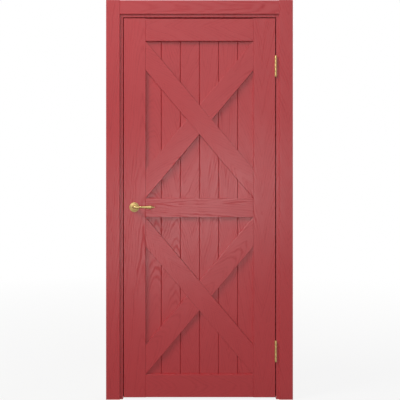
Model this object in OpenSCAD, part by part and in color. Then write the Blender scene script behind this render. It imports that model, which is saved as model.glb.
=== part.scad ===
// Interior door set: a framed, boarded and braced leaf, hung in its jambs with casings on both sides.
// X runs to the right as seen from the braced face, Y runs away from that viewer, and Z runs up.
// The origin is on the floor, under the middle of the leaf.

/* [Leaf] */
// Width of the leaf
leaf_w = 800; // [740:1:900]
// Height of the leaf
leaf_h = 2000; // [1900:1:2200]
// Thickness of the leaf
leaf_t = 40; // [38:0.5:48]
// Width of a stile
stile_w = 116; // [110:1:130]
// Height of the top rail
top_rail_h = 118; // [80:0.5:160]
// Height of the middle rail
middle_rail_h = 100; // [80:0.5:160]
// Height of the bottom rail
bottom_rail_h = 120; // [80:0.5:250]
// Step from the tops of the stiles down to the top rail
top_inset = 1.5; // [0:0.5:5]
// Step from the feet of the stiles up to the bottom rail
foot_inset = 0.5; // [0:0.5:5]
// Chamfer that eases the edges of stiles, rails and braces
ease = 0.9; // [0.4:0.1:2]
// Depth of the groove that holds the boards
groove_d = 12; // [8:1:16]
// Play of a piece in its groove, pocket or joint
joint_gap = 0.3; // [0.1:0.1:0.6]

/* [Boards] */
// Spacing of the board joints
board_pitch = 101; // [80:0.5:110]
// Thickness of a board
board_t = 18; // [14:0.5:20]
// Chamfer along each board joint
board_v = 2; // [1:0.5:4]
// Gap between two boards
board_gap = 1; // [0.5:0.1:2]
// Thickness of a board's tongue
tongue_t = 6; // [4:0.5:7]
// Length of a board's tongue
tongue_l = 8; // [5:0.5:10]

/* [Braces] */
// Width of a brace
brace_w = 100; // [60:1:120]
// Thickness of a brace
brace_t = 10.5; // [6:0.5:11]

/* [Frame] */
// Gap between the leaf and each side jamb
side_gap = 4; // [3:0.5:6]
// Gap above the leaf
head_gap = 5.5; // [3:0.5:8]
// Gap under the leaf
floor_gap = 10; // [5:1:15]
// Thickness of a jamb
jamb_t = 27; // [24:1:40]
// Depth of a jamb, as thick as the wall
jamb_d = 75; // [74:1:140]
// Thickness of a stop
stop_t = 12; // [10:1:16]
// Width of a stop
stop_w = 30; // [24:1:31]
// Gap between the leaf and the stops
seal_gap = 3; // [2:0.5:4]
// Width of the seal
seal_w = 8; // [6:0.5:9]
// Play between the leaf and the seal
seal_play = 0.3; // [0.2:0.1:1]
// Thickness of the seal's tongue
seal_tongue_t = 3; // [2:0.5:4]
// Length of the seal's tongue
seal_tongue_l = 5; // [3:0.5:7]
// Radius of the fixing holes in the side jambs
fixing_r = 4; // [3:0.5:6]
// Height of the lower fixing hole
fixing_z = 500; // [400:10:600]
// Spacing of the two fixing holes
fixing_pitch = 900; // [800:10:980]

/* [Casings] */
// Width of a casing
casing_w = 72.5; // [50:0.5:100]
// Thickness of a casing
casing_t = 7; // [6:0.5:16]
// Width of the jamb edge that shows beside a casing
reveal = 15.5; // [5:0.5:20]
// Chamfer along the face of a casing
casing_ease = 1; // [0.5:0.5:4]
// Height of the side casings above the head casing
casing_rise = 2; // [0:0.5:5]

/* [Hinges] */
// Length of a hinge between its tips
hinge_l = 106; // [90:1:130]
// Distance from the leaf's top to the middle of the upper hinge
upper_hinge_inset = 254; // [200:1:300]
// Distance from the leaf's foot to the middle of the lower hinge
lower_hinge_inset = 244; // [200:1:300]
// Thickness of a hinge plate
plate_t = 3; // [2:0.5:4]
// Width of a hinge plate
plate_w = 30; // [26:1:34]
// Diameter of the hinge pin
pin_d = 5; // [3:0.5:6]
// Running play of the pin in the knuckles
pin_play = 0.05; // [0.02:0.01:0.1]
// Gap between two knuckles
knuckle_gap = 0.4; // [0.3:0.1:1]
// Gap between the barrel and the face of the leaf
barrel_gap = 0.5; // [0.3:0.1:2]
// Length of the tip at each end of the pin
tip_l = 4; // [2:0.5:10]

/* [Screws] */
// Diameter of the wood screws
screw_d = 4; // [3:0.5:5]
// Length of the wood screws
screw_l = 24; // [16:1:30]
// Spacing of the screws along a hinge plate
screw_pitch = 26; // [20:1:27]
// Offset of the screws to either side of a hinge plate's middle
screw_stagger = 5; // [0:0.5:7]
// Length of the corner screws of the frame
corner_screw_l = 70; // [50:1:100]
// Distance of the corner screws from the edges of a jamb
corner_screw_inset = 18; // [10:1:25]

/* [Handle] */
// Distance from the leaf's edge to the spindle
backset = 56; // [50:1:60]
// Height of the spindle above the middle of the middle rail
handle_rise = 3; // [-20:0.5:20]
// Diameter of a rose
rose_d = 51; // [48:1:56]
// Height of a rose at its collar
rose_t = 10; // [8:0.5:12]
// Height of a rose at its rim
rose_rim_t = 3.5; // [2:0.5:5]
// Distance from the rose's centre to the lever's tip
lever_l = 113; // [100:1:130]
// Distance from the leaf's face to the lever's axis
lever_reach = 45; // [40:1:55]
// Diameter of the lever's neck
neck_d = 17; // [15:0.5:20]
// Bend radius of the lever's neck
bend_r = 14; // [12:1:18]
// Diameter of the lever's stem after the bend
stem_d = 13.6; // [11:0.2:15]
// Length of the lever's stem between the bend and the rings
stem_l = 16; // [8:1:20]
// Largest diameter of the grip
grip_d = 19.4; // [16:0.2:24]
// Length of the pointed end of the grip
finial_l = 19; // [10:1:25]
// Width of the square spindle
spindle_w = 8; // [6:0.5:8.5]
// Play of the spindle in its square holes
spindle_play = 0.1; // [0.05:0.05:0.2]
// Angle through which the lever turns
lever_turn = 40; // [30:1:45]

/* [Latch] */
// Travel of the latch bolt
latch_throw = 10; // [8:0.5:11]
// Thickness of the latch bolt
bolt_t = 12; // [9:0.5:12.5]
// Height of the latch bolt
bolt_h = 22; // [16:0.5:26]
// Height of the bolt's middle above the spindle
bolt_rise = 28; // [27:0.5:34]
// Play of the bolt in its windows
bolt_play = 0.2; // [0.1:0.1:0.4]
// Thickness of the latch case
case_t = 16; // [15.5:0.5:20]
// Wall of the latch case
case_wall = 1.5; // [1:0.1:1.7]
// Width of the faceplate
faceplate_w = 20; // [16:1:26]
// Length of the faceplate
faceplate_l = 110; // [100:1:160]
// Thickness of the faceplate
faceplate_t = 3; // [2:0.5:4]
// Radius of the follower's hub
hub_r = 11; // [10:0.5:12]
// Width of the follower's arm
arm_w = 6; // [4:0.5:8]
// Width of the strike plate
strike_w = 24; // [20:1:30]
// Length of the strike plate
strike_l = 90; // [70:1:120]
// Thickness of the strike plate
strike_t = 2; // [1.5:0.5:3]
// Room around the bolt in the strike's pocket
pocket_room = 1.5; // [1:0.5:3]

/* [Hidden] */
$fn = 64;
BOARDS = 6;

// Colours
paint = "#AD5054";
brass = "#CDAA5E";
dull_steel = "#8E8C88";
seal_rubber = "#4A2020";

// Margin by which a cut runs past the face that it opens
over = 1;

// Leaf: edges, faces and the two panel openings
leaf_x = leaf_w / 2;
leaf_z0 = floor_gap;
leaf_z1 = floor_gap + leaf_h;
front_y = -leaf_t / 2;
back_y = leaf_t / 2;
open_x = leaf_x - stile_w;
panel_z0 = leaf_z0 + foot_inset + bottom_rail_h;
panel_z1 = leaf_z1 - top_inset - top_rail_h;
panel_h = (panel_z1 - panel_z0 - middle_rail_h) / 2;
lower_panel = [panel_z0, panel_z0 + panel_h];
upper_panel = [panel_z1 - panel_h, panel_z1];
groove_w = board_t + 2 * joint_gap;
seat_d = groove_d - joint_gap;

// Slope of a brace whose edges start in opposite corners of a panel
brace_a = acos(brace_w / norm([2 * open_x, panel_h])) - atan2(2 * open_x, panel_h);
brace_l = 2 * norm([open_x, panel_h]);

// Frame: inner faces of jambs and casings
jamb_x = leaf_x + side_gap;
jamb_z = leaf_z1 + head_gap;
jamb_y1 = front_y + jamb_d;
stop_y = back_y + seal_gap;
casing_x = jamb_x + reveal;
casing_z = jamb_z + reveal;
casing_top = casing_z + casing_w;

// Hinges: the barrel is a little fatter than the plates and their gap
barrel_swell = 0.2;
barrel_r = plate_t + side_gap / 2 + barrel_swell;
hinge_x = leaf_x + side_gap / 2;
hinge_y = front_y - barrel_gap - barrel_r;
hinge_zs = [leaf_z0 + lower_hinge_inset, leaf_z1 - upper_hinge_inset];
knuckles = 5;
knuckle_l = (hinge_l - (knuckles - 1) * knuckle_gap) / knuckles;
frame_knuckles = [0, 2, 4];
leaf_knuckles = [1, 3];
plate_y = front_y + plate_w / 2;
hinge_holes = [for (i = [0:3]) [(i % 2 == 0 ? 1 : -1) * screw_stagger, (i - 1.5) * screw_pitch]];

// Screws
head_ratio = 2;
head_h = screw_d / 2;
point_l = screw_d;
screw_play = 0.1;
recess_w = 0.8;
recess_d = 1.2;
corner_z = jamb_z + jamb_t / 2;
corner_ys = [front_y + corner_screw_inset, jamb_y1 - corner_screw_inset];

// Handle
spindle_x = backset - leaf_x;
handle_z = (lower_panel[1] + upper_panel[0]) / 2 + handle_rise;
neck_play = 0.05;
neck_end = 0.3;
lug_d = 6;
lug_l = 8;
lug_offset = 19;
spindle_hole_r = 11;
socket_d = lever_reach - bend_r;
grub_d = 5;
grub_l = 3.4;
grub_y = rose_t + 5;

// Latch, measured inward from the leaf's edge and up from the spindle
journal_r = 8;
running_play = 0.05;
case_room = 1;
lug_play = 0.5;
lug_w = 6;
tail_t = 5;
tail_h = 10;
bolt_head_l = 25;
lug_u = arm_w / 2 + lug_play + latch_throw;
arm_reach = latch_throw + lug_play - joint_gap + arm_w / 2 * (1 - cos(lever_turn));
arm_l = arm_reach / sin(lever_turn);
lug_w0 = norm([arm_l, arm_w / 2]) + lug_play;
case_u1 = backset + lug_u + lug_w + case_room;
case_w0 = -hub_r - case_room;
case_w1 = bolt_rise + bolt_h / 2 + case_room;
plate_w_mid = (case_w0 + case_w1) / 2;
faceplate_holes = [for (s = [-1, 1]) plate_w_mid + s * (faceplate_l / 2 - 2.5 * screw_d)];
strike_z = handle_z + bolt_rise;
strike_holes = [for (s = [-1, 1]) strike_z + s * (strike_l / 2 - 2.5 * screw_d)];

// Shapes that repeat

// Rectangle about the origin with eased corners
module eased_rect(w, h, c = ease) {
    x = w / 2;
    y = h / 2;
    polygon([
        [-x + c, -y], [x - c, -y], [x, -y + c], [x, y - c],
        [x - c, y], [-x + c, y], [-x, y - c], [-x, -y + c]
    ]);
}

// A section drawn in Y and Z, drawn out along X on both sides of the origin
module along_x(l) {
    translate([-l / 2, 0, 0]) rotate([90, 0, 90]) linear_extrude(l) children();
}

// An outline drawn in X and Z, drawn out from y0 to y1
module along_y(y0, y1) {
    translate([0, y1, 0]) rotate([90, 0, 0]) linear_extrude(y1 - y0) children();
}

// Upright of the frame on the hinge side, mitred at the top
module mitred_leg(x0, x1, z0, z1, y0, y1) {
    along_y(y0, y1) polygon([[x0, 0], [x1, 0], [x1, z1], [x0, z0]]);
}

// Head of the frame, mitred at both ends
module mitred_head(x0, x1, z0, z1, y0, y1) {
    along_y(y0, y1) polygon([[-x0, z0], [x0, z0], [x1, z1], [-x1, z1]]);
}

module on_lock_side() {
    mirror([1, 0, 0]) children();
}

// Half section of a countersunk screw whose head is at z = 0, with its play
function screw_section(l, d, play) = [
    [0, 0], [d / 2 * head_ratio + play, 0], [d / 2 + play, -d / 2],
    [d / 2 + play, -l + point_l], [d / 8 + play, -l - play], [0, -l - play]
];

module screw(l = screw_l, d = screw_d) {
    difference() {
        rotate_extrude() polygon(screw_section(l, d, 0));
        for (a = [0, 90])
            rotate([0, 0, a]) cube([d, recess_w, 2 * recess_d], center = true);
    }
}

module screw_hole(l = screw_l, d = screw_d) {
    rotate_extrude() polygon(screw_section(l, d, screw_play));
}

// Puts a screw, or its hole, at each place, pointing along +X or -X
module drive(places, side) {
    for (p = places)
        translate(p) rotate([0, -90 * side, 0]) children();
}

function hinge_screw_places(x) = [
    for (z = hinge_zs, h = hinge_holes) [x, plate_y + h[0], z + h[1]]
];
function faceplate_screw_places() = [for (w = faceplate_holes) [-leaf_x, 0, handle_z + w]];
function strike_screw_places() = [for (z = strike_holes) [-jamb_x, 0, z]];
function corner_screw_places(side) = [for (y = corner_ys) [side * (jamb_x + jamb_t), y, corner_z]];

// Frame

module jamb_leg() {
    mitred_leg(jamb_x, jamb_x + jamb_t, jamb_z, jamb_z + jamb_t, front_y, jamb_y1);
}

module fixing_holes() {
    for (z = [fixing_z, fixing_z + fixing_pitch])
        translate([jamb_x - over, 0, z]) rotate([0, 90, 0]) cylinder(r = fixing_r, h = jamb_t + 2 * over);
}

module hinge_jamb() {
    color(paint) difference() {
        jamb_leg();
        fixing_holes();
        for (z = hinge_zs)
            translate([jamb_x - over, front_y - over, z - hinge_l / 2])
                cube([plate_t + over, plate_w + over, hinge_l]);
        drive(hinge_screw_places(jamb_x), 1) screw_hole();
        drive(corner_screw_places(1), -1) screw_hole(corner_screw_l);
    }
}

module lock_jamb() {
    pocket_d = latch_throw - side_gap + pocket_room;
    pocket_w = bolt_t + 2 * pocket_room;
    pocket_h = bolt_h + 2 * pocket_room;
    color(paint) difference() {
        on_lock_side() jamb_leg();
        on_lock_side() fixing_holes();
        translate([-jamb_x - strike_t, -strike_w / 2, strike_z - strike_l / 2])
            cube([strike_t + over, strike_w, strike_l]);
        translate([-jamb_x - strike_t - pocket_d, -pocket_w / 2, strike_z - pocket_h / 2])
            cube([pocket_d + over, pocket_w, pocket_h]);
        drive(strike_screw_places(), -1) screw_hole();
        drive(corner_screw_places(-1), 1) screw_hole(corner_screw_l);
    }
}

module head_jamb() {
    color(paint) difference() {
        mitred_head(jamb_x, jamb_x + jamb_t, jamb_z, jamb_z + jamb_t, front_y, jamb_y1);
        for (s = [-1, 1])
            drive(corner_screw_places(s), -s) screw_hole(corner_screw_l);
    }
}

module corner_screws() {
    color(dull_steel)
        for (s = [-1, 1])
            drive(corner_screw_places(s), -s) screw(corner_screw_l);
}

// Inner and outer edge of a strip centred on the stops, as distances in from the jambs
function strip_edges(w) = [stop_t / 2 + w / 2, stop_t / 2 - w / 2];

module strip_leg(w, y0, y1) {
    e = strip_edges(w);
    mitred_leg(jamb_x - e[0], jamb_x - e[1], jamb_z - e[0], jamb_z - e[1], y0, y1);
}

module strip_head(w, y0, y1) {
    e = strip_edges(w);
    mitred_head(jamb_x - e[0], jamb_x - e[1], jamb_z - e[0], jamb_z - e[1], y0, y1);
}

module stop_leg() {
    difference() {
        strip_leg(stop_t, stop_y, stop_y + stop_w);
        strip_leg(seal_tongue_t, stop_y - over, stop_y + seal_tongue_l + joint_gap);
    }
}

module hinge_stop() {
    color(paint) stop_leg();
}

module lock_stop() {
    color(paint) on_lock_side() stop_leg();
}

module head_stop() {
    color(paint) difference() {
        strip_head(stop_t, stop_y, stop_y + stop_w);
        strip_head(seal_tongue_t, stop_y - over, stop_y + seal_tongue_l + joint_gap);
    }
}

module seal_leg() {
    strip_leg(seal_w, back_y + seal_play, stop_y);
    strip_leg(seal_tongue_t, back_y + seal_play, stop_y + seal_tongue_l);
}

module hinge_seal() {
    color(seal_rubber) seal_leg();
}

module lock_seal() {
    color(seal_rubber) on_lock_side() seal_leg();
}

module head_seal() {
    color(seal_rubber) {
        strip_head(seal_w, back_y + seal_play, stop_y);
        strip_head(seal_tongue_t, back_y + seal_play, stop_y + seal_tongue_l);
    }
}

// Section of a casing: its back on y = 0, its eased face towards -Y
module casing_section() {
    c = casing_ease;
    w = casing_w / 2;
    polygon([[-w, 0], [w, 0], [w, c - casing_t], [w - c, -casing_t], [c - w, -casing_t], [-w, c - casing_t]]);
}

module side_casing() {
    translate([casing_x + casing_w / 2, front_y, 0])
        linear_extrude(casing_top + casing_rise) casing_section();
}

// The head casing is eased at its ends too, where it meets the side casings
module head_casing() {
    translate([0, front_y, casing_z + casing_w / 2]) intersection() {
        along_x(2 * casing_x) rotate(-90) casing_section();
        linear_extrude(casing_w, center = true)
            translate([0, casing_t / 2]) eased_rect(2 * casing_x, 3 * casing_t);
    }
}

// Turns a casing of the front into one of the back
module on_back() {
    translate([0, front_y + jamb_y1, 0]) mirror([0, 1, 0]) children();
}

module front_hinge_casing() {
    color(paint) side_casing();
}

module front_lock_casing() {
    color(paint) on_lock_side() side_casing();
}

module front_head_casing() {
    color(paint) head_casing();
}

module back_hinge_casing() {
    color(paint) on_back() side_casing();
}

module back_lock_casing() {
    color(paint) on_back() on_lock_side() side_casing();
}

module back_head_casing() {
    color(paint) on_back() head_casing();
}

module strike_plate() {
    window_w = bolt_t + 2 * pocket_room;
    window_h = bolt_h + 2 * pocket_room;
    color(brass) difference() {
        translate([-jamb_x - strike_t, -strike_w / 2, strike_z - strike_l / 2])
            cube([strike_t, strike_w, strike_l]);
        translate([-jamb_x - strike_t - over, -window_w / 2, strike_z - window_h / 2])
            cube([strike_t + 2 * over, window_w, window_h]);
        drive(strike_screw_places(), -1) screw_hole();
    }
}

module frame_screws() {
    color(brass) {
        drive(hinge_screw_places(jamb_x), 1) screw();
        drive(strike_screw_places(), -1) screw();
    }
}

// Hinges, drawn about the middle of their length

module knuckle(i, plate_x) {
    z0 = -hinge_l / 2 + i * (knuckle_l + knuckle_gap);
    translate([hinge_x, hinge_y, z0]) cylinder(r = barrel_r, h = knuckle_l);
    translate([plate_x, hinge_y, z0]) cube([plate_t, front_y - hinge_y + plate_t, knuckle_l]);
}

module hinge_plate(plate_x, own_knuckles) {
    difference() {
        union() {
            translate([plate_x, front_y, -hinge_l / 2]) cube([plate_t, plate_w, hinge_l]);
            for (i = own_knuckles)
                knuckle(i, plate_x);
        }
        translate([hinge_x, hinge_y, -hinge_l / 2 - over])
            cylinder(d = pin_d + 2 * pin_play, h = hinge_l + 2 * over);
    }
}

module frame_plate(z) {
    color(brass) difference() {
        translate([0, 0, z]) hinge_plate(jamb_x, frame_knuckles);
        drive(hinge_screw_places(jamb_x), 1) screw_hole();
    }
}

module leaf_plate(z) {
    color(brass) difference() {
        translate([0, 0, z]) hinge_plate(leaf_x - plate_t, leaf_knuckles);
        drive(hinge_screw_places(leaf_x), -1) screw_hole();
    }
}

module lower_hinge_frame_plate() {
    frame_plate(hinge_zs[0]);
}

module upper_hinge_frame_plate() {
    frame_plate(hinge_zs[1]);
}

module lower_hinge_leaf_plate() {
    leaf_plate(hinge_zs[0]);
}

module upper_hinge_leaf_plate() {
    leaf_plate(hinge_zs[1]);
}

// Pin with a tapered tip at each end
module hinge_pin(z) {
    end = hinge_l / 2;
    tip_r = barrel_r - barrel_swell;
    half = [[pin_d / 2, end], [tip_r, end], [tip_r, end + tip_l / 2], [tip_r / 2, end + tip_l], [0, end + tip_l]];
    mirrored = [for (i = [len(half) - 1:-1:0]) [half[i][0], -half[i][1]]];
    color(brass) translate([hinge_x, hinge_y, z]) rotate_extrude() polygon(concat(mirrored, half));
}

module lower_hinge_pin() {
    hinge_pin(hinge_zs[0]);
}

module upper_hinge_pin() {
    hinge_pin(hinge_zs[1]);
}

// Leaf

// Stile on the hinge side, grooved along its inner edge
module stile() {
    translate([0, 0, leaf_z0]) linear_extrude(leaf_h) difference() {
        translate([leaf_x - stile_w / 2, 0]) eased_rect(stile_w, leaf_t);
        translate([open_x - over, -groove_w / 2]) square([groove_d + over, groove_w]);
    }
}

module hinge_stile() {
    color(paint) difference() {
        stile();
        for (z = hinge_zs)
            translate([leaf_x - plate_t, front_y - over, z - hinge_l / 2])
                cube([plate_t + over, plate_w + over, hinge_l]);
        drive(hinge_screw_places(leaf_x), -1) screw_hole();
    }
}

module lock_stile() {
    mortise_w0 = case_w0 - case_wall - joint_gap;
    mortise_w1 = case_w1 + case_wall + joint_gap;
    mortise_t = case_t + 2 * joint_gap;
    recess_w = faceplate_w + 2 * joint_gap;
    recess_l = faceplate_l + 2 * joint_gap;
    color(paint) difference() {
        on_lock_side() stile();
        translate([-leaf_x - over, -recess_w / 2, handle_z + plate_w_mid - recess_l / 2])
            cube([faceplate_t + over, recess_w, recess_l]);
        translate([-leaf_x, -mortise_t / 2, handle_z + mortise_w0])
            cube([case_u1 + case_wall + joint_gap, mortise_t, mortise_w1 - mortise_w0]);
        at_spindle() cylinder(r = spindle_hole_r, h = leaf_t + 2 * over, center = true);
        at_spindle()
            for (s = [-1, 1], e = [-1, 1])
                translate([s * lug_offset, 0, e * leaf_t / 2])
                    cylinder(d = lug_d + 2 * screw_play, h = 2 * (lug_l + joint_gap), center = true);
        drive(faceplate_screw_places(), 1) screw_hole();
    }
}

// A rail between the stiles, with a stub tenon at each end above or below the board grooves
module rail(z0, z1, groove_below, groove_above) {
    tenon_z0 = z0 + (groove_below ? groove_d : 0);
    tenon_z1 = z1 - (groove_above ? groove_d : 0);
    difference() {
        union() {
            intersection() {
                translate([0, 0, (z0 + z1) / 2]) along_x(2 * open_x) eased_rect(leaf_t, z1 - z0);
                translate([0, 0, z0]) linear_extrude(z1 - z0) eased_rect(2 * open_x, leaf_t);
            }
            translate([-open_x - seat_d, -board_t / 2, tenon_z0])
                cube([2 * (open_x + seat_d), board_t, tenon_z1 - tenon_z0]);
        }
        if (groove_below)
            translate([-leaf_x, -groove_w / 2, z0 - over]) cube([leaf_w, groove_w, groove_d + over]);
        if (groove_above)
            translate([-leaf_x, -groove_w / 2, z1 - groove_d]) cube([leaf_w, groove_w, groove_d + over]);
    }
}

module top_rail() {
    color(paint) rail(upper_panel[1], leaf_z1 - top_inset, true, false);
}

module middle_rail() {
    color(paint) rail(lower_panel[1], upper_panel[0], true, true);
}

module bottom_rail() {
    color(paint) rail(leaf_z0 + foot_inset, lower_panel[0], false, true);
}

// Outline of a board edge at x, towards +X or -X: plain, tongued or grooved
function plain_edge(x) = [[x, -board_t / 2], [x, board_t / 2]];
function joint_edge(x, side, w, d) = [
    [x - side * board_v, -board_t / 2], [x, -board_t / 2 + board_v],
    [x, -w / 2], [x + d, -w / 2], [x + d, w / 2], [x, w / 2],
    [x, board_t / 2 - board_v], [x - side * board_v, board_t / 2]
];
function reversed(a) = [for (i = [len(a) - 1:-1:0]) a[i]];

// One of the boards across a panel, with its groove on the left and its tongue on the right
module board(i, panel) {
    wall_x = open_x + seat_d;
    left_x = (i - 1 - BOARDS / 2) * board_pitch + board_gap / 2;
    right_x = (i - BOARDS / 2) * board_pitch - board_gap / 2;
    slot_w = tongue_t + joint_gap;
    slot_d = tongue_l - board_gap + joint_gap;
    left = i == 1 ? plain_edge(-wall_x) : joint_edge(left_x, -1, slot_w, slot_d);
    right = i == BOARDS ? plain_edge(wall_x) : joint_edge(right_x, 1, tongue_t, tongue_l);
    color(paint) translate([0, 0, panel[0] - seat_d])
        linear_extrude(panel[1] - panel[0] + 2 * seat_d) polygon(concat(left, reversed(right)));
}

module upper_board(i) {
    board(i, upper_panel);
}

module lower_board(i) {
    board(i, lower_panel);
}

// Strip of a brace through the panel's middle, sloping down to the right for side = 1
module brace_strip(side) {
    y1 = -board_t / 2;
    y0 = y1 - brace_t;
    w = brace_w / 2;
    rotate([0, side * brace_a, 0]) along_x(brace_l)
        polygon([[y1, -w], [y1, w], [y0 + ease, w], [y0, w - ease], [y0, ease - w], [y0 + ease, -w]]);
}

// The same strip with square edges
module square_strip(side) {
    rotate([0, side * brace_a, 0]) along_x(brace_l)
        translate([-board_t / 2 - brace_t, -brace_w / 2]) square([brace_t, brace_w]);
}

module in_panel(panel) {
    color(paint) translate([0, 0, (panel[0] + panel[1]) / 2]) intersection() {
        cube([2 * (open_x - joint_gap), leaf_t * 2, panel_h - 2 * joint_gap], center = true);
        children();
    }
}

// The long brace keeps square edges where the halves of the other brace butt against it
module long_brace(panel) {
    in_panel(panel) union() {
        brace_strip(1);
        intersection() {
            square_strip(1);
            square_strip(-1);
        }
    }
}

// Half of the other brace, above (side = 1) or below (side = -1) the long one
module half_brace(panel, side) {
    in_panel(panel) intersection() {
        brace_strip(-1);
        rotate([0, brace_a, 0])
            translate([0, 0, side * (brace_w / 2 + joint_gap + brace_l / 2)]) cube(brace_l, center = true);
    }
}

module upper_long_brace() {
    long_brace(upper_panel);
}

module upper_brace_top_half() {
    half_brace(upper_panel, 1);
}

module upper_brace_bottom_half() {
    half_brace(upper_panel, -1);
}

module lower_long_brace() {
    long_brace(lower_panel);
}

module lower_brace_top_half() {
    half_brace(lower_panel, 1);
}

module lower_brace_bottom_half() {
    half_brace(lower_panel, -1);
}

module leaf_screws() {
    color(brass) {
        drive(hinge_screw_places(leaf_x), -1) screw();
        drive(faceplate_screw_places(), 1) screw();
    }
}

// Handle

// Moves to the spindle's axis, with Z turned towards the front
module at_spindle() {
    translate([spindle_x, 0, handle_z]) rotate([90, 0, 0]) children();
}

// A rose on the face of the leaf: a stepped rim, a domed shield, a collar and two lugs
module rose() {
    r = rose_d / 2;
    bore_r = neck_d / 2 + neck_play;
    collar_r = bore_r + 3;
    dome_r = r - 4.5;
    dome = [for (a = [0:15:90])
        [dome_r - (dome_r - collar_r) * (1 - cos(a)), rose_rim_t + (rose_t - 2 - rose_rim_t) * sin(a)]];
    rim = [[bore_r, 0], [r, 0], [r, rose_rim_t - 1], [r - 1, rose_rim_t], [r - 3.5, rose_rim_t], [r - 3.5, rose_rim_t - 1],
        [dome_r, rose_rim_t - 1]];
    collar = [[collar_r, rose_t - 1], [collar_r - 1, rose_t], [bore_r, rose_t]];
    translate([0, 0, leaf_t / 2]) {
        rotate_extrude() polygon(concat(rim, dome, collar));
        for (s = [-1, 1])
            translate([s * lug_offset, 0, -lug_l]) cylinder(d = lug_d, h = lug_l + 1);
    }
}

module front_rose() {
    color(brass) at_spindle() rose();
}

module back_rose() {
    color(brass) mirror([0, 1, 0]) at_spindle() rose();
}

// A bead of a turned profile, from t0 to t1 along the axis, standing h out from radius r
function bead(t0, t1, r, h) = [for (a = [0:30:180]) [r + h * sin(a), t0 + (t1 - t0) * (1 - cos(a)) / 2]];

// Profile of the lever's arm from the bend to the tip, as radius and distance from the spindle
function arm_profile() =
    let (
        r = stem_d / 2,
        waist_r = r - 1.4,
        stem_t = bend_r + stem_l,
        grip_t0 = stem_t + 17,
        grip_t1 = lever_l - finial_l,
        grip_r1 = grip_d / 2,
        grip = [[waist_r + 0.4, grip_t0], [grip_r1, grip_t1], [grip_r1 - 0.6, grip_t1 + 1.5]],
        point = [[0.6 * grip_r1, grip_t1 + 3], [2.4, lever_l - 4], [2, lever_l - 1.5], [0.8, lever_l]]
    )
    concat(
        [[0, bend_r], [r, bend_r], [waist_r, stem_t]],
        bead(stem_t, stem_t + 5, waist_r, 2.6), bead(stem_t + 7.5, stem_t + 11, waist_r - 0.4, 1.8),
        grip, point, [[0, lever_l]]
    );

// Lever on the front: its neck stands on the spindle and bends into the turned arm along +X
module lever() {
    face = leaf_t / 2;
    bend_h = face + lever_reach - bend_r;
    difference() {
        union() {
            translate([0, 0, face + neck_end]) cylinder(d = neck_d, h = rose_t + 2);
            translate([0, 0, face + rose_t + 2])
                cylinder(d1 = neck_d, d2 = stem_d, h = bend_h - face - rose_t - 2);
            translate([bend_r, 0, bend_h]) rotate([90, 0, 0]) rotate([0, 0, 90])
                rotate_extrude(angle = 90) translate([bend_r, 0]) circle(d = stem_d);
            translate([0, 0, face + lever_reach]) rotate([0, 90, 0]) rotate_extrude() polygon(arm_profile());
        }
        socket_w = spindle_w + 2 * spindle_play;
        translate([-socket_w / 2, -socket_w / 2, 0]) cube([socket_w, socket_w, face + socket_d]);
        translate([0, 0, face + grub_y]) rotate([90, 0, 0]) cylinder(d = grub_d + 2 * screw_play, h = neck_d);
    }
}

module front_lever() {
    color(brass) at_spindle() lever();
}

module back_lever() {
    color(brass) mirror([0, 1, 0]) at_spindle() lever();
}

module spindle() {
    l = leaf_t + 2 * (socket_d - 1);
    color(dull_steel) at_spindle() cube([spindle_w, spindle_w, l], center = true);
}

module grub_screw() {
    at_spindle() translate([0, -spindle_w / 2 - joint_gap, leaf_t / 2 + grub_y])
        rotate([90, 0, 0]) cylinder(d = grub_d, h = grub_l);
}

module grub_screws() {
    color(dull_steel) {
        grub_screw();
        mirror([0, 1, 0]) grub_screw();
    }
}

// Latch

// Moves to the leaf's lock edge at the spindle's height
module at_latch() {
    translate([-leaf_x, 0, handle_z]) children();
}

module follower_bore() {
    translate([backset, 0, 0]) rotate([90, 0, 0])
        cylinder(r = journal_r + running_play, h = 2 * case_t, center = true);
}

// Case, open towards the faceplate and towards the lid at the back
module latch_case() {
    color(dull_steel) at_latch() difference() {
        translate([faceplate_t, -case_t / 2, case_w0 - case_wall])
            cube([case_u1 + case_wall - faceplate_t, case_t - case_wall, case_w1 - case_w0 + 2 * case_wall]);
        translate([faceplate_t - over, case_wall - case_t / 2, case_w0])
            cube([case_u1 - faceplate_t + over, case_t, case_w1 - case_w0]);
        follower_bore();
    }
}

module latch_lid() {
    color(dull_steel) at_latch() difference() {
        translate([faceplate_t, case_t / 2 - case_wall, case_w0 - case_wall])
            cube([case_u1 + case_wall - faceplate_t, case_wall, case_w1 - case_w0 + 2 * case_wall]);
        follower_bore();
    }
}

module latch_faceplate() {
    window_w = bolt_t + 2 * bolt_play;
    window_h = bolt_h + 2 * bolt_play;
    color(brass) difference() {
        at_latch() translate([0, -faceplate_w / 2, plate_w_mid - faceplate_l / 2])
            cube([faceplate_t, faceplate_w, faceplate_l]);
        at_latch() translate([-over, -window_w / 2, bolt_rise - window_h / 2])
            cube([faceplate_t + 2 * over, window_w, window_h]);
        drive(faceplate_screw_places(), 1) screw_hole();
    }
}

// Hub with journals at both sides, a square hole and the arm that draws the bolt
module latch_follower() {
    hub_l = case_t - 2 * case_wall - 2 * joint_gap;
    hole_w = spindle_w + 2 * spindle_play;
    color(dull_steel) at_latch() translate([backset, 0, 0]) difference() {
        union() {
            rotate([90, 0, 0]) cylinder(r = hub_r, h = hub_l, center = true);
            rotate([90, 0, 0]) cylinder(r = journal_r, h = case_t, center = true);
            translate([-arm_w / 2, -tail_t / 2, 0]) cube([arm_w, tail_t, arm_l]);
        }
        cube([hole_w, 2 * case_t, hole_w], center = true);
    }
}

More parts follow.
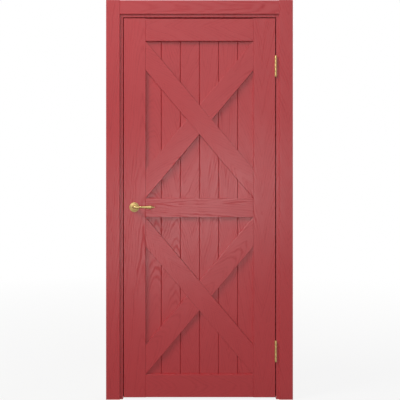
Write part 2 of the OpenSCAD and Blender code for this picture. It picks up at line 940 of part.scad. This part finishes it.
// Bolt, drawn in flush with the faceplate, with its tail and the lug above the follower's arm
module latch_bolt() {
    tail_u1 = backset + lug_u + lug_w;
    tail_w0 = bolt_rise - tail_h / 2;
    color(brass) at_latch() {
        translate([0, -bolt_t / 2, bolt_rise - bolt_h / 2]) cube([bolt_head_l, bolt_t, bolt_h]);
        translate([bolt_head_l - over, -tail_t / 2, tail_w0]) cube([tail_u1 - bolt_head_l + over, tail_t, tail_h]);
        translate([backset + lug_u, -tail_t / 2, lug_w0]) cube([lug_w, tail_t, tail_w0 - lug_w0 + over]);
    }
}

lock_jamb();
hinge_jamb();
head_jamb();
lock_stop();
hinge_stop();
head_stop();
lock_seal();
hinge_seal();
head_seal();
corner_screws();
front_lock_casing();
front_hinge_casing();
front_head_casing();
back_lock_casing();
back_hinge_casing();
back_head_casing();
upper_hinge_frame_plate();
lower_hinge_frame_plate();
upper_hinge_pin();
lower_hinge_pin();
strike_plate();
frame_screws();
lock_stile();
hinge_stile();
top_rail();
middle_rail();
bottom_rail();
for (i = [1:BOARDS])
    upper_board(i);
for (i = [1:BOARDS])
    lower_board(i);
upper_long_brace();
upper_brace_top_half();
upper_brace_bottom_half();
lower_long_brace();
lower_brace_top_half();
lower_brace_bottom_half();
upper_hinge_leaf_plate();
lower_hinge_leaf_plate();
leaf_screws();
latch_case();
latch_lid();
latch_faceplate();
front_rose();
back_rose();
front_lever();
back_lever();
spindle();
latch_follower();
grub_screws();
latch_bolt();
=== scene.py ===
"""Finishes of an interior door set: painted ash joinery, brass fittings, and the studio that shows them."""

from math import acos, atan2, hypot, pi, radians

import bpy
from bpy.props import FloatProperty, FloatVectorProperty, PointerProperty
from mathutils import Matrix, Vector


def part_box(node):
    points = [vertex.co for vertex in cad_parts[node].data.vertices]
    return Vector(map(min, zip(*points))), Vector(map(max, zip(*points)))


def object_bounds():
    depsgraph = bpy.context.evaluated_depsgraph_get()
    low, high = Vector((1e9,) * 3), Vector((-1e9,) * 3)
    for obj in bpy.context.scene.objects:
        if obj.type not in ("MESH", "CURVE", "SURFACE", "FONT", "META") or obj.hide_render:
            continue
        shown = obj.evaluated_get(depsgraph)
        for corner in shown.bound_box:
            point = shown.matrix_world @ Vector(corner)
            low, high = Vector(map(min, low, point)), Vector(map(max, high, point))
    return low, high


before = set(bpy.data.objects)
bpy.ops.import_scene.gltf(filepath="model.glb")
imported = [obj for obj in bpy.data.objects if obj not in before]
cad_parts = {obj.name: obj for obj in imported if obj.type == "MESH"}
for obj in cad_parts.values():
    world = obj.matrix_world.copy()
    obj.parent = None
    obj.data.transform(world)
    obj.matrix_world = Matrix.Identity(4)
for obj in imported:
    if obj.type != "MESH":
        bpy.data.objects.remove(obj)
cad_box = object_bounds()

bl_info = {
    "name": "Interior door finishes",
    "version": (1, 0, 0),
    "blender": (4, 5, 0),
    "location": "3D View > Sidebar > Door",
    "description": "Paints the joinery of a door set, finishes its fittings and sets up a studio around it",
    "category": "Object",
}

MM = 0.001


def linear(hex_colour):
    """Turns an sRGB hex colour into linear red, green, blue and alpha."""
    channels = [int(hex_colour[i:i + 2], 16) / 255 for i in (1, 3, 5)]
    return [c / 12.92 if c <= 0.04045 else ((c + 0.055) / 1.055) ** 2.4 for c in channels] + [1.0]


def nodes_with(*words):
    """Names of the frame's nodes that hold one of the words."""
    return sorted(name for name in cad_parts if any(word in name for word in words))


# The pieces, by how their wood lies or what they are made of
UPRIGHT_FRAME = nodes_with("lock_jamb", "hinge_jamb", "lock_stop", "hinge_stop")
LEVEL_FRAME = nodes_with("head_jamb", "head_stop")
UPRIGHT_CASINGS = nodes_with("lock_casing", "hinge_casing")
LEVEL_CASINGS = nodes_with("head_casing")
STILES = nodes_with("_stile")
RAILS = nodes_with("_rail")
BOARDS = nodes_with("_board_")
FALLING_BRACES = nodes_with("_long_brace")
RISING_BRACES = nodes_with("_brace_top_half", "_brace_bottom_half")
SEALS = nodes_with("_seal")
HINGES = nodes_with("_plate", "hinge_pin")
ROSES = nodes_with("_rose")
LEVERS = nodes_with("_lever")
BRASS_SCREWS = nodes_with("frame_screws", "leaf_screws")
LATCH_BRASS = nodes_with("latch_bolt", "latch_faceplate")
STEEL = nodes_with("corner_screws", "latch_case", "latch_lid", "latch_follower", "spindle", "grub_screws")


def colour_property(name, description, hex_colour):
    """A colour that the user can set, given as an sRGB hex value."""
    return FloatVectorProperty(
        name=name, description=description, subtype="COLOR", size=4, min=0.0, max=1.0,
        default=linear(hex_colour),
    )


def length_property(name, description, length):
    """A length in metres that the user can set."""
    return FloatProperty(
        name=name, description=description, unit="LENGTH", min=0.0, precision=5, default=length
    )


def power_property(name, description, power):
    """A lamp's power in watts that the user can set."""
    return FloatProperty(name=name, description=description, unit="POWER", default=power)


class DoorPaint(bpy.types.PropertyGroup):
    """Looks of the painted joinery."""

    paint: colour_property("Paint", "Colour of the satin paint", "#A92C31")
    pore_paint: colour_property("Paint in the pores", "Colour of the paint in the open pores", "#8C2025")
    brace_width: length_property("Brace width", "Width of a brace, for the slope of its grain", 100 * MM)
    ring_width: length_property("Ring width", "Width of an annual ring", 11.5 * MM)
    trunk_radius: length_property("Trunk radius", "Half the width after which the arches repeat", 95 * MM)
    heart_depth: length_property("Heart depth", "Depth of a trunk's heart behind a face", 30 * MM)
    waviness: length_property("Waviness", "Sideways sweep of the rings", 32 * MM)
    pore_width: length_property("Pore width", "Width of an open pore", 3 * MM)
    pore_length: length_property("Pore length", "Length of an open pore", 60 * MM)
    pore_depth: length_property("Pore depth", "Depth of the pores under the paint", 0.3 * MM)
    arris: length_property("Arris", "Rounding that sanding and paint leave on an edge", 0.3 * MM)


class DoorMetal(bpy.types.PropertyGroup):
    """Looks of the fittings and the seal."""

    brass: colour_property("Brass", "Colour of the clean brass", "#AC9462")
    dull_brass: colour_property("Handled brass", "Colour of the brass where it has dulled", "#A0885A")
    zinc: colour_property("Zinc", "Colour of the zinc plating", "#A5A39E")
    dull_zinc: colour_property("Dull zinc", "Colour of the plating where it has weathered", "#7D7B77")
    rubber: colour_property("Seal", "Colour of the soft seal", "#3B1B1B")
    arris: length_property("Arris", "Rounding of a plate's edge", 0.25 * MM)


class DoorStage(bpy.types.PropertyGroup):
    """The studio: floor, lamps and camera."""

    floor: colour_property("Floor", "Colour of the floor", "#9A9895")
    floor_glow: FloatProperty(
        name="Floor glow", description="Share of plain white that the floor shows beside the door",
        min=0.0, max=1.0, default=0.88,
    )
    ambient: FloatProperty(name="Ambient", description="Strength of the even light", min=0.0, default=0.06)
    key_power: power_property("Key lamp", "Power from the upper left", 357.0)
    left_power: power_property("Left lamp", "Power from the camera's left", 21.0)
    right_power: power_property("Right lamp", "Power from the camera's right", 20.3)
    upper_power: power_property("Upper lamp", "Power from above the camera", 30.0)
    top_power: power_property("Top lamp", "Power from the ceiling", 26.0)
    back_power: power_property("Back lamp", "Power on the back of the door", 320.0)
    lens: FloatProperty(name="Lens", description="Focal length", unit="CAMERA", min=1.0, default=50.0)


# Sockets of a colour mix, whose names it shares with its other kinds
MIX_A, MIX_B, MIX_RESULT = 6, 7, 2


def add(tree, kind, inputs=None, **settings):
    """Adds a node to a tree, sets its settings, and fills its inputs with values or links."""
    node = tree.nodes.new(kind)
    for name, value in settings.items():
        setattr(node, name, value)
    for socket, value in (inputs or {}).items():
        if isinstance(value, bpy.types.NodeSocket):
            tree.links.new(value, node.inputs[socket])
        else:
            node.inputs[socket].default_value = value
    return node


def start_material(name):
    """Makes a new material and returns it with its node tree and its shader."""
    material = bpy.data.materials.new(name)
    material.use_nodes = True
    return material, material.node_tree, material.node_tree.nodes["Principled BSDF"]


def painted_ash(name, turn):
    """Ash under brushed satin paint.

    The paint is thin enough to leave the pores open, so the arched figure of the wood stays readable as a
    faint relief: it shows best where the satin surface catches the light, and nearly fades elsewhere.
    turn is the angle about Y that brings the grain upright.
    """
    look = bpy.context.scene.door_paint
    material, tree, shader = start_material(name)
    place = add(tree, "ShaderNodeTexCoord").outputs["Object"]
    own = add(tree, "ShaderNodeObjectInfo").outputs["Random"]
    upright = add(tree, "ShaderNodeVectorRotate", {"Vector": place, "Angle": turn}, rotation_type="Y_AXIS")
    # Each piece comes from another part of the tree
    tree_shift = (3.7, 0.03, 8.3)
    wood = add(
        tree, "ShaderNodeVectorMath", {0: own, 1: tree_shift, 2: upright.outputs["Vector"]},
        operation="MULTIPLY_ADD",
    ).outputs["Vector"]

    # A tapering trunk stands behind the face of each piece, so its rings show there as nested arches,
    # or as straight lines where the taper is small
    taper = add(tree, "ShaderNodeMapRange", {"Value": own, "To Min": 0.45, "To Max": 0.05})
    at = add(tree, "ShaderNodeSeparateXYZ", {"Vector": wood}).outputs
    side = add(tree, "ShaderNodeMath", {0: at["X"], 1: look.trunk_radius}, operation="PINGPONG")
    heart = add(tree, "ShaderNodeCombineXYZ", {"X": side.outputs["Value"], "Y": look.heart_depth})
    radius = add(tree, "ShaderNodeVectorMath", {0: heart.outputs["Vector"]}, operation="LENGTH")
    tapered = add(
        tree, "ShaderNodeMath", {0: at["Z"], 1: taper.outputs["Result"], 2: radius.outputs["Value"]},
        operation="MULTIPLY_ADD",
    )
    sweep_width, sweep_length = 50 * MM, 170 * MM
    sweep_scale = (1 / sweep_width, 1 / sweep_width, 1 / sweep_length)
    sweep_place = add(tree, "ShaderNodeVectorMath", {0: wood, 1: sweep_scale}, operation="MULTIPLY")
    sweep = add(
        tree, "ShaderNodeTexNoise", {"Vector": sweep_place.outputs["Vector"], "Scale": 1.0, "Detail": 3.0}
    )
    swept = add(
        tree, "ShaderNodeMath", {0: sweep.outputs["Fac"], 1: look.waviness, 2: tapered.outputs["Value"]},
        operation="MULTIPLY_ADD",
    )
    # The annual rings of ash are 2 to 4 mm wide, drawn coarser here so that they show at the render's size
    ring = add(
        tree, "ShaderNodeMath", {0: swept.outputs["Value"], 1: look.ring_width / 2}, operation="PINGPONG"
    )
    vein_start, vein_middle = 0.15 * look.ring_width, 0.5 * look.ring_width
    vein = add(
        tree, "ShaderNodeMapRange",
        {"Value": ring.outputs["Value"], "From Min": vein_start, "From Max": vein_middle},
        interpolation_type="SMOOTHSTEP",
    ).outputs["Result"]
    # Good and poor years, a few of a kind together, leave strong and faint rings
    spell = 2.5 * look.ring_width
    years = add(
        tree, "ShaderNodeTexNoise", {"W": swept.outputs["Value"], "Scale": 1 / spell, "Detail": 1.0},
        noise_dimensions="1D",
    )
    faint, strong = 0.2, 1.25
    growth = add(
        tree, "ShaderNodeMapRange",
        {"Value": years.outputs["Fac"], "From Min": 0.3, "From Max": 0.65, "To Min": faint, "To Max": strong},
    )

    # Open pores are hairs about 0.3 mm wide, drawn coarser for the same reason, and lie along the rings
    pore_scale = (1 / look.pore_width, 1 / look.pore_width, 1 / look.pore_length)
    pore_place = add(tree, "ShaderNodeVectorMath", {0: wood, 1: pore_scale}, operation="MULTIPLY")
    pore_noise = add(
        tree, "ShaderNodeTexNoise",
        {"Vector": pore_place.outputs["Vector"], "Scale": 1.0, "Detail": 3.0, "Roughness": 0.6},
    )
    pore = add(
        tree, "ShaderNodeMapRange",
        {"Value": pore_noise.outputs["Fac"], "From Min": 0.35, "From Max": 0.65,
         "To Min": 0.1, "To Max": 1.2},
    )
    open_vein = add(tree, "ShaderNodeMath", {0: vein, 1: pore.outputs["Result"]}, operation="MULTIPLY")
    relief = add(
        tree, "ShaderNodeMath", {0: open_vein.outputs["Value"], 1: growth.outputs["Result"]},
        operation="MULTIPLY",
    ).outputs["Value"]

    # Brushed paint varies a little over a hand's width
    patch_width = 160 * MM
    patches = add(
        tree, "ShaderNodeTexNoise",
        {"Vector": wood, "Scale": 1 / patch_width, "Detail": 2.0, "Roughness": 0.5},
    )
    tint = add(
        tree, "ShaderNodeMapRange",
        {"Value": patches.outputs["Fac"], "From Min": 0.3, "From Max": 0.7, "To Min": 0.98, "To Max": 1.02},
    )
    # In the pores the paint looks darker and loses its satin
    pore_tint = 0.4
    pore_share = add(tree, "ShaderNodeMapRange", {"Value": relief, "To Max": pore_tint}).outputs["Result"]
    colour = add(
        tree, "ShaderNodeMix", {"Factor": pore_share, MIX_A: look.paint, MIX_B: look.pore_paint},
        data_type="RGBA",
    )
    painted = add(
        tree, "ShaderNodeHueSaturation",
        {"Value": tint.outputs["Result"], "Color": colour.outputs[MIX_RESULT]},
    )
    satin, matt = 0.28, 0.57
    rough = add(tree, "ShaderNodeMapRange", {"Value": relief, "To Min": satin, "To Max": matt})
    bump = add(
        tree, "ShaderNodeBump", {"Height": relief, "Strength": 0.7, "Distance": look.pore_depth}, invert=True
    )
    tree.links.new(painted.outputs["Color"], shader.inputs["Base Color"])
    tree.links.new(rough.outputs["Result"], shader.inputs["Roughness"])
    tree.links.new(bump.outputs["Normal"], shader.inputs["Normal"])
    paint_ior = 1.45
    shader.inputs["IOR"].default_value = paint_ior
    return material


def lacquered_brass(name, roughness):
    """Brass under lacquer: warm reflections, a little duller where hands and dust reach.

    roughness is that of the clean brass, by how far it is polished.
    """
    look = bpy.context.scene.door_metal
    material, tree, shader = start_material(name)
    place = add(tree, "ShaderNodeTexCoord").outputs["Object"]
    # Dull spots about the size of a fingertip
    spot_width = 12 * MM
    spots = add(
        tree, "ShaderNodeTexNoise",
        {"Vector": place, "Scale": 1 / spot_width, "Detail": 4.0, "Roughness": 0.6},
    )
    dulled = add(
        tree, "ShaderNodeMapRange", {"Value": spots.outputs["Fac"], "From Min": 0.4, "From Max": 0.8}
    ).outputs["Result"]
    colour = add(
        tree, "ShaderNodeMix", {"Factor": dulled, MIX_A: look.brass, MIX_B: look.dull_brass}, data_type="RGBA"
    )
    wear = 0.06
    rough = add(
        tree, "ShaderNodeMapRange", {"Value": dulled, "To Min": roughness, "To Max": roughness + wear}
    )
    # Polishing lines are finer than a tenth of a millimetre, drawn at half a millimetre to show close up
    line_width, line_depth = 0.5 * MM, 0.05 * MM
    lines = add(tree, "ShaderNodeTexNoise", {"Vector": place, "Scale": 1 / line_width, "Detail": 2.0})
    bump = add(
        tree, "ShaderNodeBump", {"Height": lines.outputs["Fac"], "Strength": 0.08, "Distance": line_depth}
    )
    tree.links.new(colour.outputs[MIX_RESULT], shader.inputs["Base Color"])
    tree.links.new(rough.outputs["Result"], shader.inputs["Roughness"])
    tree.links.new(bump.outputs["Normal"], shader.inputs["Normal"])
    shader.inputs["Metallic"].default_value = 1.0
    return material


def zinc_steel(name):
    """Zinc plated steel sheet: cool grey with a fine cloudy bloom and a dull sheen."""
    look = bpy.context.scene.door_metal
    material, tree, shader = start_material(name)
    place = add(tree, "ShaderNodeTexCoord").outputs["Object"]
    bloom_width, bloom_depth = 4 * MM, 0.05 * MM
    bloom = add(
        tree, "ShaderNodeTexNoise",
        {"Vector": place, "Scale": 1 / bloom_width, "Detail": 5.0, "Roughness": 0.6},
    )
    colour = add(
        tree, "ShaderNodeMix", {"Factor": bloom.outputs["Fac"], MIX_A: look.zinc, MIX_B: look.dull_zinc},
        data_type="RGBA",
    )
    rough = add(tree, "ShaderNodeMapRange", {"Value": bloom.outputs["Fac"], "To Min": 0.3, "To Max": 0.5})
    bump = add(
        tree, "ShaderNodeBump", {"Height": bloom.outputs["Fac"], "Strength": 0.15, "Distance": bloom_depth}
    )
    tree.links.new(colour.outputs[MIX_RESULT], shader.inputs["Base Color"])
    tree.links.new(rough.outputs["Result"], shader.inputs["Roughness"])
    tree.links.new(bump.outputs["Normal"], shader.inputs["Normal"])
    shader.inputs["Metallic"].default_value = 1.0
    return material


def seal_rubber(name):
    """Extruded seal rubber: dark, matt, with a fine moulded grain and a bloom of dust."""
    look = bpy.context.scene.door_metal
    material, tree, shader = start_material(name)
    place = add(tree, "ShaderNodeTexCoord").outputs["Object"]
    grain_width, grain_depth = 1.2 * MM, 0.1 * MM
    grain = add(tree, "ShaderNodeTexNoise", {"Vector": place, "Scale": 1 / grain_width, "Detail": 3.0})
    tint = add(tree, "ShaderNodeMapRange", {"Value": grain.outputs["Fac"], "To Min": 0.8, "To Max": 1.25})
    colour = add(tree, "ShaderNodeHueSaturation", {"Value": tint.outputs["Result"], "Color": look.rubber})
    rough = add(tree, "ShaderNodeMapRange", {"Value": grain.outputs["Fac"], "To Min": 0.65, "To Max": 0.85})
    bump = add(
        tree, "ShaderNodeBump", {"Height": grain.outputs["Fac"], "Strength": 0.2, "Distance": grain_depth}
    )
    tree.links.new(colour.outputs["Color"], shader.inputs["Base Color"])
    tree.links.new(rough.outputs["Result"], shader.inputs["Roughness"])
    tree.links.new(bump.outputs["Normal"], shader.inputs["Normal"])
    return material


def dress(names, material, arris=0.0):
    """Gives the named nodes a material and, where arris is set, rounds their edges."""
    same_point, sharp_edge = 0.01 * MM, radians(30)
    for name in names:
        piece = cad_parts[name]
        for slot in piece.material_slots:
            slot.material = material
        if not piece.material_slots:
            piece.data.materials.append(material)
        if arris:
            weld = piece.modifiers.new("Weld", "WELD")
            weld.merge_threshold = same_point
            edge = piece.modifiers.new("Arris", "BEVEL")
            edge.width = arris
            edge.segments = 2
            edge.limit_method = "ANGLE"
            edge.angle_limit = sharp_edge
            edge.harden_normals = True


def brace_slope():
    """Angle of a brace below the level, from its panel and its width."""
    low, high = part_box(FALLING_BRACES[0])
    width, height = high.x - low.x, high.z - low.z
    return acos(bpy.context.scene.door_paint.brace_width / hypot(width, height)) - atan2(width, height)


class DOOR_OT_paint_frame(bpy.types.Operator):
    """Paints the jambs, stops and casings"""

    bl_idname = "door.paint_frame"
    bl_label = "Paint frame and casings"

    def execute(self, context):
        arris = context.scene.door_paint.arris
        dress(UPRIGHT_FRAME + UPRIGHT_CASINGS, painted_ash("painted_ash_frame_upright", 0.0), arris)
        dress(LEVEL_FRAME + LEVEL_CASINGS, painted_ash("painted_ash_frame_level", -pi / 2), arris)
        return {"FINISHED"}


class DOOR_OT_paint_leaf(bpy.types.Operator):
    """Paints the stiles, rails and boards of the leaf"""

    bl_idname = "door.paint_leaf"
    bl_label = "Paint stiles, rails and boards"

    def execute(self, context):
        arris = context.scene.door_paint.arris
        dress(STILES + BOARDS, painted_ash("painted_ash_leaf_upright", 0.0), arris)
        dress(RAILS, painted_ash("painted_ash_leaf_level", -pi / 2), arris)
        return {"FINISHED"}


class DOOR_OT_paint_braces(bpy.types.Operator):
    """Paints the braces, with the grain along each"""

    bl_idname = "door.paint_braces"
    bl_label = "Paint braces"

    def execute(self, context):
        arris = context.scene.door_paint.arris
        slope = brace_slope()
        dress(FALLING_BRACES, painted_ash("painted_ash_falling_brace", -pi / 2 - slope), arris)
        dress(RISING_BRACES, painted_ash("painted_ash_rising_brace", -pi / 2 + slope), arris)
        return {"FINISHED"}


class DOOR_OT_finish_brass(bpy.types.Operator):
    """Finishes the hinges, handles, strike, faceplate, bolt and their screws"""

    bl_idname = "door.finish_brass"
    bl_label = "Finish brass fittings"

    def execute(self, context):
        satin_roughness, polished_roughness = 0.54, 0.26
        satin = lacquered_brass("satin_brass", satin_roughness)
        dress(HINGES + LATCH_BRASS, satin, context.scene.door_metal.arris)
        dress(BRASS_SCREWS + ROSES, satin)
        dress(LEVERS, lacquered_brass("polished_brass", polished_roughness))
        return {"FINISHED"}


class DOOR_OT_finish_steel(bpy.types.Operator):
    """Finishes the hidden steel of the latch and the frame's corner screws"""

    bl_idname = "door.finish_steel"
    bl_label = "Finish steel pieces"

    def execute(self, context):
        dress(STEEL, zinc_steel("zinc_plated_steel"))
        return {"FINISHED"}


class DOOR_OT_finish_seals(bpy.types.Operator):
    """Finishes the soft seals in the stops"""

    bl_idname = "door.finish_seals"
    bl_label = "Finish seals"

    def execute(self, context):
        dress(SEALS, seal_rubber("seal_rubber"))
        return {"FINISHED"}


def seen_directly(tree):
    """Output that is 1 for rays that show a surface to the camera, in a mirror or through glass too."""
    ray = add(tree, "ShaderNodeLightPath").outputs
    seen = add(
        tree, "ShaderNodeMath", {0: ray["Is Camera Ray"], 1: ray["Is Glossy Ray"]}, operation="MAXIMUM"
    )
    shown = add(
        tree, "ShaderNodeMath", {0: seen.outputs["Value"], 1: ray["Is Transmission Ray"]}, operation="MAXIMUM"
    )
    return shown.outputs["Value"]


def lamp(name, place, aim, width, height, power):
    """A soft lamp that the camera does not see."""
    light = bpy.data.lights.new(name, "AREA")
    light.shape = "RECTANGLE"
    light.size = width
    light.size_y = height
    light.energy = power
    made = bpy.data.objects.new(name, light)
    made.location = place
    made.rotation_euler = (Vector(aim) - Vector(place)).to_track_quat("-Z", "Y").to_euler()
    made.visible_camera = False
    bpy.context.scene.collection.objects.link(made)


# The leaf in the picture, in pixels of a 400 pixel frame
PICTURE_PX = 400
LEAF_MIDDLE_PX = 199.5
LEAF_TOP_PX = 18.3
LEAF_FOOT_PX = 397.36


class DOOR_OT_set_stage(bpy.types.Operator):
    """Sets the floor, the lamps, the surroundings and the camera"""

    bl_idname = "door.set_stage"
    bl_label = "Set the stage"

    def execute(self, context):
        stage = context.scene.door_stage
        context.scene.view_settings.view_transform = "Standard"
        self.lay_floor(stage)
        self.set_world(context.scene, stage)
        self.hang_lamps(stage)
        self.place_camera(context.scene, stage)
        return {"FINISHED"}

    def lay_floor(self, stage):
        reach = 30.0
        mesh = bpy.data.meshes.new("floor")
        corners = [(-reach, -reach, 0), (reach, -reach, 0), (reach, reach, 0), (-reach, reach, 0)]
        mesh.from_pydata(corners, [], [(0, 1, 2, 3)])
        floor = bpy.data.objects.new("floor", mesh)
        bpy.context.scene.collection.objects.link(floor)
        # Matt painted board, with the faint unevenness of a roller
        material, tree, shader = start_material("matt_studio_floor")
        place = add(tree, "ShaderNodeTexCoord").outputs["Object"]
        roller_width = 60 * MM
        roller = add(
            tree, "ShaderNodeTexNoise", {"Vector": place, "Scale": 1 / roller_width, "Detail": 3.0}
        )
        rough = add(
            tree, "ShaderNodeMapRange", {"Value": roller.outputs["Fac"], "To Min": 0.75, "To Max": 0.9}
        )
        tree.links.new(rough.outputs["Result"], shader.inputs["Roughness"])
        shader.inputs["Base Color"].default_value = stage.floor
        shader.inputs["Specular IOR Level"].default_value = 0.1
        # To the camera and in reflections the floor turns into the white background, with the door's
        # shadow left near it
        near_end, far_start = 1.0, 5.0
        distance = add(tree, "ShaderNodeVectorMath", {0: place}, operation="LENGTH")
        glow = add(
            tree, "ShaderNodeMapRange",
            {"Value": distance.outputs["Value"], "From Min": near_end, "From Max": far_start,
             "To Min": stage.floor_glow, "To Max": 1.0},
        )
        share = add(
            tree, "ShaderNodeMath", {0: glow.outputs["Result"], 1: seen_directly(tree)}, operation="MULTIPLY"
        )
        white = add(tree, "ShaderNodeEmission")
        blend = add(
            tree, "ShaderNodeMixShader",
            {0: share.outputs["Value"], 1: shader.outputs["BSDF"], 2: white.outputs["Emission"]},
        )
        tree.links.new(blend.outputs["Shader"], tree.nodes["Material Output"].inputs["Surface"])
        mesh.materials.append(material)

    def set_world(self, scene, stage):
        world = bpy.data.worlds.new("studio")
        world.use_nodes = True
        tree = world.node_tree
        strength = add(
            tree, "ShaderNodeMapRange", {"Value": seen_directly(tree), "To Min": stage.ambient, "To Max": 1.0}
        )
        background = tree.nodes["Background"]
        background.inputs["Color"].default_value = (1, 1, 1, 1)
        tree.links.new(strength.outputs["Result"], background.inputs["Strength"])
        scene.world = world

    def hang_lamps(self, stage):
        low, high = cad_box
        middle = (low + high) / 2
        # The key rakes across the face from the upper left, about 70 degrees off the normal
        key_way, key_distance = Vector((-0.67, -0.33, 0.67)), 6.3
        lamp("key_lamp", middle + key_way * key_distance, middle, 1.85, 1.85, stage.key_power)
        # The left and right lamps give the satin paint its pale bloom, the upper one carries it to the top
        front = -4.2
        lamp("left_lamp", middle + Vector((-0.52, front, -0.32)), middle, 1.3, 1.5, stage.left_power)
        lamp("right_lamp", middle + Vector((0.5, front, 0.2)), middle, 1.2, 1.2, stage.right_power)
        lamp("upper_lamp", middle + Vector((0.1, front, 2.4)), middle, 3.2, 2.2, stage.upper_power)
        # The top lamp hangs before the door and lights upper edges and the tops of the fittings
        below, up = middle + Vector((-1.3, -1.75, 0)), Vector((0, 0, 3.0))
        lamp("top_lamp", below + up, below, 2.6, 1.6, stage.top_power)
        # The back lamp shows the other side of the door
        lamp("back_lamp", middle + Vector((2.0, 5.0, 2.0)), middle, 2.4, 2.4, stage.back_power)

    def place_camera(self, scene, stage):
        low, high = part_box("lock_stile")
        metres_per_px = (high.z - low.z) / (LEAF_FOOT_PX - LEAF_TOP_PX)
        camera = bpy.data.cameras.new("camera")
        camera.lens = stage.lens
        distance = PICTURE_PX * metres_per_px * camera.lens / camera.sensor_width
        made = bpy.data.objects.new("camera", camera)
        made.location = (
            (PICTURE_PX / 2 - LEAF_MIDDLE_PX) * metres_per_px,
            low.y - distance,
            low.z + (LEAF_FOOT_PX - PICTURE_PX / 2) * metres_per_px,
        )
        made.rotation_euler = (radians(90), 0, 0)
        scene.collection.objects.link(made)
        scene.camera = made


class DOOR_PT_finishes(bpy.types.Panel):
    """Lists the finishes and the steps that lay them"""

    bl_idname = "DOOR_PT_finishes"
    bl_label = "Door finishes"
    bl_space_type = "VIEW_3D"
    bl_region_type = "UI"
    bl_category = "Door"

    def draw(self, context):
        for operator in OPERATORS:
            self.layout.operator(operator.bl_idname)
        for group in (context.scene.door_paint, context.scene.door_metal, context.scene.door_stage):
            box = self.layout.box()
            for name in group.__annotations__:
                box.prop(group, name)


GROUPS = {"door_paint": DoorPaint, "door_metal": DoorMetal, "door_stage": DoorStage}
OPERATORS = (
    DOOR_OT_paint_frame,
    DOOR_OT_paint_leaf,
    DOOR_OT_paint_braces,
    DOOR_OT_finish_brass,
    DOOR_OT_finish_steel,
    DOOR_OT_finish_seals,
    DOOR_OT_set_stage,
)


def register():
    """Adds the settings, the steps and the panel to Blender."""
    for name, group in GROUPS.items():
        bpy.utils.register_class(group)
        setattr(bpy.types.Scene, name, PointerProperty(type=group))
    for operator in OPERATORS:
        bpy.utils.register_class(operator)
    bpy.utils.register_class(DOOR_PT_finishes)


def unregister():
    """Takes the panel, the steps and the settings out again."""
    bpy.utils.unregister_class(DOOR_PT_finishes)
    for operator in reversed(OPERATORS):
        bpy.utils.unregister_class(operator)
    for name, group in GROUPS.items():
        delattr(bpy.types.Scene, name)
        bpy.utils.unregister_class(group)


def main():
    """Takes every step once."""
    register()
    bpy.ops.door.paint_frame()
    bpy.ops.door.paint_leaf()
    bpy.ops.door.paint_braces()
    bpy.ops.door.finish_brass()
    bpy.ops.door.finish_steel()
    bpy.ops.door.finish_seals()
    bpy.ops.door.set_stage()


if __name__ == "__main__":
    main()
